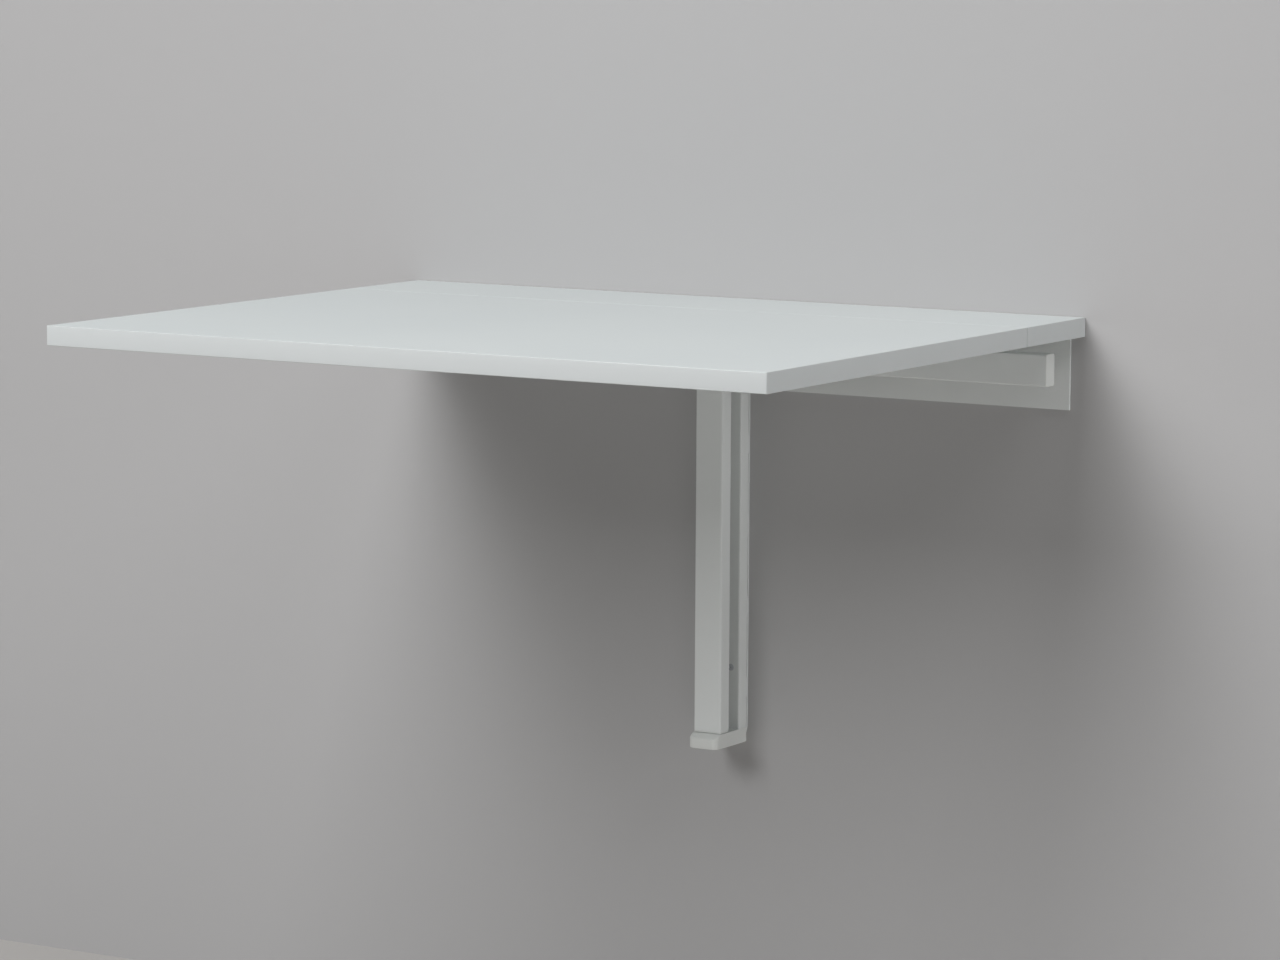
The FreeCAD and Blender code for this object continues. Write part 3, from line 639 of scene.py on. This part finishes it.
def make_foot_shoe():
    """Shoe under the post, as rounded outlines stacked from the recess for its screw, out over its floor
    and up its walls to the pocket for the ledge. Near the top each outline draws in: its sides by half a
    cosine wave, and its toe by a quarter of one, which gives the toe a soft sloping brow."""
    low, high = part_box("foot_cap")
    screw_low, screw_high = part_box("foot_screw")
    ledge_low, ledge_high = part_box("post_leg")
    screw_y = (screw_low.y + screw_high.y) / 2
    head = (screw_high.y - screw_low.y) / 2 + SHOE_SCREW_ROOM
    hole = head / 2
    recess = low.z + SHOE_RECESS
    seat = ledge_low.z
    pocket_left, pocket_right = ledge_low.x - SHOE_POCKET_ROOM, ledge_high.x + SHOE_POCKET_ROOM
    pocket = (pocket_left, pocket_right, ledge_low.y - SHOE_POCKET_ROOM, SHOE_POCKET_REAR)

    def outline(z, inset, toe_inset, radius):
        return (z, low.x + inset, high.x - inset, low.y + toe_inset, high.y - SHOE_REAR, radius)

    def circle(z, radius):
        return (z, -radius, radius, screw_y - radius, screw_y + radius, radius)

    turn = np.radians(np.linspace(0, 90, 6))
    lip_inset = pocket_left - SHOE_LIP - low.x
    sections = [circle(recess, hole), circle(recess, head), circle(low.z + SHOE_HOLE_EDGE, head)]
    sections.append(circle(low.z, head + SHOE_HOLE_EDGE))
    sections.append(outline(low.z, 2 * SHOE_RIM, 2 * SHOE_RIM, SHOE_CORNER - SHOE_RIM))
    for a in turn:
        inset = SHOE_RIM * (1 - math.sin(a))
        sections.append(outline(low.z + SHOE_RIM * (1 - math.cos(a)), inset, inset, SHOE_CORNER))
    rise = np.linspace(0, 1, 13)
    flare = np.clip((rise - 1) * SHOE_SLOPE / SHOE_FLARE + 1, 0, 1)
    insets = lip_inset * (1 - np.cos(np.pi * flare)) / 2
    toe = SHOE_BROW * (1 - np.cos(np.pi / 2 * rise))
    corners = SHOE_CORNER * (1 - rise) + SHOE_TOP_CORNER * rise
    sections += list(map(outline, high.z - SHOE_SLOPE * (1 - rise), insets, toe, corners))
    sections += [(z, *pocket, SHOE_TOP_CORNER - SHOE_LIP) for z in (high.z, seat)]
    middle = (pocket[2] + pocket[3]) / 2
    sections.append((seat, -hole, hole, middle - hole, middle + hole, hole))
    new_piece("foot_shoe", lofted(2, sections), ["foot_cap"])


def make_arm_plug():
    """Plug in the arm's end, as rounded outlines stacked from its nose over the ribs to its cover. The
    cover's edge is rolled over by a quarter circle, and its crown rises by a quarter sine wave."""
    low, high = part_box("arm_end_plug")
    limits = (low.y, high.y, low.z, high.z)
    cover = high.x - PLUG_FLANGE

    def section(x, inset, radius):
        return (x, limits[0] + inset, limits[1] - inset, limits[2] + inset, limits[3] - inset, radius)

    grip = TUBE_WALL + PLUG_FIT
    sections = [section(low.x, grip + PLUG_NOSE_INSET, PLUG_CORNER)]
    sections.append(section(low.x + PLUG_NOSE, grip + PLUG_BODY_INSET, PLUG_CORNER))
    for rib in np.linspace(RIB_FIRST, RIB_LAST, RIB_COUNT) * (cover - low.x) + low.x:
        sections += [section(rib + step, grip + inset, PLUG_CORNER) for step, inset in RIB_STEPS]
    sections += [section(cover, grip + PLUG_NECK_INSET, PLUG_CORNER), section(cover, 0.0, TUBE_ROUND)]
    face = high.x - PLUG_CROWN
    sections += [
        section(face - PLUG_EDGE * (1 - math.sin(turn)), PLUG_EDGE * (1 - math.cos(turn)), TUBE_ROUND)
        for turn in np.radians(np.linspace(0, 90, 5))
    ]
    half = (high.y - low.y) / 2
    for share in (0.25, 0.5, 0.75, 0.98):
        x = face + PLUG_CROWN * math.sin(math.pi / 2 * share)
        inset = PLUG_EDGE + (half - 2 * PLUG_EDGE) * share
        sections.append(section(x, inset, TUBE_ROUND * (1 - share) + PLUG_CROWN_CORNER * share))
    new_piece("arm_end_cover", lofted(0, sections), ["arm_end_plug"])


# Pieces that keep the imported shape, with their edges rolled over

def softened(node, width):
    """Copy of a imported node, its doubled points merged and its flat faces joined, with every sharp edge
    rolled over by a bevel."""
    mesh = bpy.data.meshes.new(node + "_finished")
    shell = bmesh.new()
    shell.from_mesh(frame["nodes"][node].data)
    bmesh.ops.remove_doubles(shell, verts=shell.verts, dist=MERGE)
    bmesh.ops.dissolve_limit(shell, angle_limit=FLAT_ANGLE, verts=shell.verts, edges=shell.edges)
    shell.to_mesh(mesh)
    shell.free()
    if "custom_normal" in mesh.attributes:
        mesh.attributes.remove(mesh.attributes["custom_normal"])
    mesh.shade_smooth()
    piece = settle(node + "_finished", mesh, [node])
    bevel = piece.modifiers.new("Rolled edges", "BEVEL")
    bevel.width = width
    bevel.segments = 2
    bevel.limit_method = "ANGLE"
    bevel.angle_limit = ROLLED_ANGLE
    bevel.harden_normals = True


def make_softened_pieces():
    """Folded sheet and tube, moulded, turned and stamped pieces, each with its own width of edge."""
    for node in ("rail_plate", "post_leg", "post_tube", "gate_stile", "gate_arm"):
        softened(node, SHEET_EDGE)
    for node in ("gate_rest", "leaf_support_block"):
        softened(node, MOULDED_EDGE)
    for node in ("stile_top_plug", "stile_bottom_plug", "upper_pivot_pin"):
        softened(node, TURNED_EDGE)
    for side in ("left", "right"):
        softened("hinge_shelf_plate_" + side, STAMPED_EDGE)
        softened("hinge_leaf_plate_" + side, STAMPED_EDGE)


# Turned pieces: hinge pins, and the gate's washers and lower pin

def rolled(start, end, radius, edge, away=1):
    """Profile of a disc from one place to another, whose far rim is a quarter circle."""
    turn = np.radians(np.linspace(0, 90, 5))
    rim = zip(end - away * edge * (1 - np.sin(turn)), radius - edge * (1 - np.cos(turn)))
    return [(start, radius), *rim]


def make_hinge_pins():
    """Pins along X, turned: each of the two heads has a rim rolled over by a quarter circle."""
    for side in ("left", "right"):
        low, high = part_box("hinge_pin_" + side)
        centre = ((low.y + high.y) / 2, (low.z + high.z) / 2)
        head = (high.z - low.z) / 2
        left, right = low.x + HINGE_HEAD, high.x - HINGE_HEAD
        profile = [(low.x, HINGE_HEAD_FLAT), *rolled(left, low.x, head, HINGE_HEAD_ROUND, -1)[::-1]]
        profile += [(left, HINGE_SHAFT), (right, HINGE_SHAFT)]
        profile += [*rolled(right, high.x, head, HINGE_HEAD_ROUND), (high.x, HINGE_HEAD_FLAT)]
        name = "hinge_pin_" + side
        new_piece(name + "_turned", turned(0, centre, profile), [name])


def make_pivots():
    """Washers as closed rings with rolled rims, and the lower pin, whose head is an arc of an ellipse
    turned about its line."""
    for name in ("upper_pivot_washer", "lower_pivot_washer"):
        low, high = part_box(name)
        centre = ((low.x + high.x) / 2, (low.y + high.y) / 2)
        radius = (high.x - low.x) / 2
        lower = rolled(high.z, low.z, radius, TURNED_EDGE, -1)[:0:-1]
        upper = rolled(low.z, high.z, radius, TURNED_EDGE)[1:]
        bore = [
            (high.z, PIN_BORE + TURNED_EDGE), (high.z - TURNED_EDGE, PIN_BORE),
            (low.z + TURNED_EDGE, PIN_BORE), (low.z, PIN_BORE + TURNED_EDGE),
        ]
        new_piece(name + "_turned", turned(2, centre, lower + upper + bore, loop=True), [name])
    low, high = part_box("lower_pivot_pin")
    centre = ((low.x + high.x) / 2, (low.y + high.y) / 2)
    head = (high.x - low.x) / 2
    under = low.z + RIVET_HEIGHT
    out = np.linspace(0.05, 1.0, 8)
    profile = list(zip(low.z + RIVET_HEIGHT * (1 - np.sqrt(1 - (RIVET_BULGE * out) ** 2)), head * out))
    profile += [(under, head), (under, RIVET_SHAFT)]
    profile += [(high.z - RIVET_CHAMFER, RIVET_SHAFT), (high.z, RIVET_SHAFT - RIVET_CHAMFER)]
    new_piece("lower_pivot_rivet", turned(2, centre, profile), ["lower_pivot_pin"])


# Screws

def screw(place, radius, head_radius, length, pan):
    """Screw driven upwards from the middle of its head's face. Going up the rows, the skin climbs out of
    the cross recess, round the head and up the shank. Round the columns, the recess has four lobes:
    its radius is the waist plus the rest times the cube of |cos 2a|. On the shank the radius dips by
    a cosine of the turns climbed less the turn round, which winds it into a thread."""
    mouth = head_radius * RECESS_SHARE
    rows = [(RECESS_DEPTH * share, mouth * width, 1) for share, width in RECESS_STEPS]
    if pan:
        for turn in np.radians(np.linspace(15, 90, 6)):
            rise = PAN_HEIGHT * PAN_DOME * (1 - np.cos(turn))
            rows.append((rise, mouth + (head_radius - mouth) * np.sin(turn), 0))
        rows += [(PAN_HEIGHT, head_radius - PAN_RIM, 0), (PAN_HEIGHT, radius, 0)]
    else:
        rows += [(0.0, head_radius - SUNK_RIM, 0), (SUNK_RIM, head_radius, 0)]
        rows.append((head_radius - radius, radius, 0))
    height, base, lobed = np.array(rows, float).T
    climb = np.arange(height[-1] + THREAD_START, length, THREAD_PITCH / THREAD_ROWS_PER_TURN)
    point = np.clip((length - climb) / (2 * radius), SCREW_TIP, 1.0)
    height = np.concatenate([height, climb])
    base = np.concatenate([base, radius * point])
    cut = np.concatenate([np.zeros(len(lobed)), np.full(len(climb), THREAD_DEPTH)])
    lobed = np.concatenate([lobed, np.zeros(len(climb))])
    around = np.linspace(0, 2 * np.pi, AROUND, endpoint=False)
    lobe = RECESS_WAIST + (1 - RECESS_WAIST) * np.abs(np.cos(2 * around)) ** 3
    wind = 0.5 - 0.5 * np.cos(2 * np.pi * height[:, None] / THREAD_PITCH - around)
    reach = base[:, None] * (1 - lobed[:, None] * (1 - lobe)) * (1 - cut[:, None] * wind)
    grid = np.stack([
        place[0] + reach * np.cos(around), place[1] + reach * np.sin(around),
        np.broadcast_to(place[2] + height[:, None], reach.shape),
    ], axis=-1)
    return skin(grid)


def make_screws():
    """Every screw that the solids have too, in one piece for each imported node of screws."""
    for board, side in (("shelf", 1), ("leaf", -1)):
        node = "hinge_%s_screws" % board
        low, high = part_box(node)
        places = []
        for end in ("left", "right"):
            pin_low, pin_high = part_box("hinge_pin_" + end)
            middle = (pin_low + pin_high) / 2
            for along, across in HINGE_SCREW_OFFSETS:
                places.append((middle.x + along, middle.y + side * across, low.z))
        screws = [screw(place, *WOOD_SCREW, high.z - low.z, False) for place in places]
        new_piece(node + "_cut", join_skins(screws), [node])
    low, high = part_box("shelf_screws")
    screws = [
        screw((x, (low.y + high.y) / 2, low.z), *PAN_SCREW, high.z - low.z, True) for x in SHELF_SCREW_X
    ]
    new_piece("shelf_screws_cut", join_skins(screws), ["shelf_screws"])
    low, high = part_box("support_block_screws")
    middle = (low + high) / 2
    screws = [
        screw((middle.x, middle.y + step, low.z), *BLOCK_SCREW, high.z - low.z, False)
        for step in (-BLOCK_SCREW_STEP, BLOCK_SCREW_STEP)
    ]
    new_piece("support_block_screws_cut", join_skins(screws), ["support_block_screws"])
    low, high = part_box("foot_screw")
    place = ((low.x + high.x) / 2, (low.y + high.y) / 2, low.z)
    new_piece("foot_screw_cut", screw(place, *PAN_SCREW, high.z - low.z, True), ["foot_screw"])


def make_post_screw():
    """Screw that holds the post, from its sunk head in the tube's front back to the wall's face. It is
    the screw driven upwards, tipped over a quarter turn so that it is driven along Y."""
    mount = next(row for row in frame["record"]["mounts"] if row["name"] == "post_wall_screw")
    x, _, z = mount["pos_m"]
    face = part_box("post_tube")[0].y + POST_SCREW_SINK
    upright, faces = screw((0.0, 0.0, 0.0), *POST_SCREW, -face - POST_SCREW_SINK, False)
    across, depth, climb = upright.T
    points = np.stack([x + across, face + climb, z - depth], axis=-1)
    new_piece("post_screw", (points, faces), [], "root", "zinc_screw")


# Weld beads

def evenly(points, spacing):
    """Points of a closed path moved to equal steps along it, those steps, and the path's length."""
    closed = np.concatenate([points, points[:1]])
    along = np.concatenate([[0.0], np.cumsum(np.linalg.norm(np.diff(closed, axis=0), axis=1))])
    steps = np.arange(0, along[-1], along[-1] / round(along[-1] / spacing))
    return np.stack([np.interp(steps, along, column) for column in closed.T], -1), steps, along[-1]


def ring_weld(axis, place, limits, radius, size):
    """Bead round a tube's end. Its section is a circle whose radius swells with the cosine of the
    distance along the bead, and the crest of each ripple bows forward over the bead."""
    a, b = rounded_outline(*limits, radius)
    path, steps, length = evenly(np.stack([a, b], -1), BEAD_STEP)
    forward = np.roll(path, -1, axis=0) - np.roll(path, 1, axis=0)
    outward = np.stack([forward[:, 1], -forward[:, 0]], -1)
    outward /= np.linalg.norm(outward, axis=1)[:, None]
    around = np.linspace(0, 2 * np.pi, BEAD_AROUND, endpoint=False)[:, None]
    ripples = round(length / BEAD_PITCH)
    swell = 1 + BEAD_RIPPLE * np.cos(2 * np.pi * ripples * steps / length + np.cos(around))
    reach = size * swell
    grid = np.empty(reach.shape + (3,))
    grid[..., axis] = place + reach * np.sin(around)
    plane = path + (reach * np.cos(around))[..., None] * outward
    grid[..., (axis + 1) % 3] = plane[..., 0]
    grid[..., (axis + 2) % 3] = plane[..., 1]
    return skin(grid, loop_rows=True, loop_columns=True)


def stitch_weld(x, y, z_low, z_high, size):
    """Short upright bead, rippled as a ring weld is, that thins out to both its ends as the square root
    of a sine."""
    share = np.linspace(0.01, 0.99, round((z_high - z_low) / BEAD_STEP))
    around = np.linspace(0, 2 * np.pi, BEAD_AROUND, endpoint=False)[:, None]
    height = z_low + (z_high - z_low) * share
    swell = 1 + BEAD_RIPPLE * np.cos(2 * np.pi * height / BEAD_PITCH + np.cos(around))
    reach = size * swell * np.sqrt(np.sin(np.pi * share))
    grid = np.stack([
        x + reach * np.cos(around), y + reach * np.sin(around), np.broadcast_to(height, reach.shape)
    ], axis=-1)
    return skin(grid, loop_rows=True, loop_columns=False)


def make_welds():
    """Bead where the arm meets the stile, and on the post a collar at its top and stitches down its
    sides along the leg."""
    arm_low, arm_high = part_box("gate_arm")
    limits = (arm_low.y, arm_high.y, arm_low.z, arm_high.z)
    joint = ring_weld(0, arm_low.x - JOINT_OFFSET, limits, TUBE_ROUND, BEAD)
    new_piece("gate_weld", joint, [], "root", "white_steel", WELD_SHARP_DEGREES)
    low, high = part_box("post_tube")
    limits = (low.x + COLLAR_INSET, high.x - COLLAR_INSET, low.y + COLLAR_INSET, high.y - COLLAR_INSET)
    welds = [ring_weld(2, high.z - COLLAR_DROP, limits, TUBE_ROUND, BEAD)]
    run = high.z - low.z
    for middle in low.z + run * (np.arange(STITCH_COUNT) + 0.5) / STITCH_COUNT:
        bottom, top = middle - STITCH / 2, middle + STITCH / 2
        for x in (low.x + STITCH_INSET, high.x - STITCH_INSET):
            welds.append(stitch_weld(x, high.y - STITCH_FORWARD, bottom, top, BEAD))
    new_piece("post_welds", join_skins(welds), [], "root", "white_steel", WELD_SHARP_DEGREES)


make_edge_bands()
make_foot_shoe()
make_arm_plug()
make_softened_pieces()
make_hinge_pins()
make_pivots()
make_screws()
make_post_screw()
make_welds()

for name, node in frame["nodes"].items():
    for place in node.material_slots:
        place.material = FINISHES[SLOT_OF[name]]


# Stage, light and camera

def seen_rays(tree):
    """1 for the rays that see the pale background: the camera's own, reflected ones and refracted ones."""
    path = add(tree, "ShaderNodeLightPath")
    seen = math_node(tree, "MAXIMUM", path.outputs["Is Camera Ray"], path.outputs["Is Glossy Ray"])
    return math_node(tree, "MAXIMUM", seen, path.outputs["Is Transmission Ray"])


def stage_sheet(name, corners, colour, see_through):
    """Flat sheet of the stage that shows only its front, so that a view from behind passes through it.
    Far from the table it turns into the pale background."""
    mesh = bpy.data.meshes.new(name)
    mesh.from_pydata(corners, [], [(0, 1, 2, 3)])
    sheet = bpy.data.objects.new(name, mesh)
    bpy.context.scene.collection.objects.link(sheet)
    material = bpy.data.materials.new(name)
    material.use_nodes = True
    tree = material.node_tree
    tree.nodes.clear()
    paint = add(tree, "ShaderNodeBsdfDiffuse", {"Color": rgba(colour)})
    place = add(tree, "ShaderNodeTexCoord").outputs["Object"]
    distance = add(tree, "ShaderNodeVectorMath", {0: place}, operation="LENGTH").outputs["Value"]
    far = add(
        tree, "ShaderNodeMapRange", {"Value": distance, "From Min": FADE_START, "From Max": FADE_END},
        interpolation_type="SMOOTHSTEP",
    )
    share = math_node(tree, "MULTIPLY", far.outputs[0], seen_rays(tree))
    pale = add(tree, "ShaderNodeEmission", {"Color": rgba(BACKGROUND)})
    front = add(tree, "ShaderNodeMixShader", {0: share, 1: paint.outputs[0], 2: pale.outputs[0]})
    clear = add(tree, "ShaderNodeBsdfTransparent")
    behind = add(tree, "ShaderNodeNewGeometry").outputs["Backfacing"]
    mixed = add(tree, "ShaderNodeMixShader", {0: behind, 1: front.outputs[0], 2: clear.outputs[0]})
    output = add(tree, "ShaderNodeOutputMaterial")
    tree.links.new(mixed.outputs[0], output.inputs["Surface"])
    mesh.materials.append(material)
    sheet.visible_diffuse = sheet.visible_shadow = not see_through
    sheet.visible_glossy = sheet.visible_transmission = not see_through


def area_lamp(name, place, side, watts):
    """Square soft lamp that looks at the table and isn't seen itself."""
    lamp = bpy.data.lights.new(name, "AREA")
    lamp.shape = "SQUARE"
    lamp.size = side
    lamp.energy = watts
    holder = bpy.data.objects.new(name, lamp)
    holder.location = place
    holder.rotation_euler = (LAMP_AIM - Vector(place)).to_track_quat("-Z", "Y").to_euler()
    holder.visible_camera = False
    bpy.context.scene.collection.objects.link(holder)
    return holder


def make_world():
    """Even soft light from all round; the camera and reflections see the pale background instead."""
    world = bpy.data.worlds.new("Studio")
    bpy.context.scene.world = world
    world.use_nodes = True
    tree = world.node_tree
    tree.nodes.clear()
    light = add(tree, "ShaderNodeBackground", {"Color": (1, 1, 1, 1), "Strength": AMBIENT})
    pale = add(tree, "ShaderNodeBackground", {"Color": rgba(BACKGROUND), "Strength": 1.0})
    mixed = add(tree, "ShaderNodeMixShader", {0: seen_rays(tree), 1: light.outputs[0], 2: pale.outputs[0]})
    output = add(tree, "ShaderNodeOutputWorld")
    tree.links.new(mixed.outputs[0], output.inputs["Surface"])


def make_stage():
    """Wall just behind the table, pale floor, ambient light and lamps. The lamp behind the wall lights
    the table through it, but shows in no reflection."""
    half, ground = STAGE_HALF, -FLOOR_DROP
    wall = [(-half, ground), (half, ground), (half, half), (-half, half)]
    stage_sheet("Wall", [(x, WALL_GAP, z) for x, z in wall], WALL_PAINT, True)
    floor = [(-half, -2 * half), (half, -2 * half), (half, half), (-half, half)]
    stage_sheet("Floor", [(x, y, ground) for x, y in floor], FLOOR_PAINT, False)
    make_world()
    for lamp in ROOM_LAMPS:
        area_lamp(*lamp)
    area_lamp(*REAR_LAMP).visible_glossy = False


def make_camera():
    """Camera, turned to its right, up and back directions, with the Standard view of its picture."""
    camera = bpy.data.objects.new("Camera", bpy.data.cameras.new("Camera"))
    camera.data.lens = CAMERA_LENS
    camera.data.sensor_width = SENSOR
    facing = Matrix((CAMERA_RIGHT, CAMERA_UP, CAMERA_BACK)).transposed().to_4x4()
    camera.matrix_world = Matrix.Translation(CAMERA_PLACE) @ facing
    bpy.context.scene.collection.objects.link(camera)
    bpy.context.scene.camera = camera
    bpy.context.scene.view_settings.view_transform = "Standard"


make_stage()
make_camera()
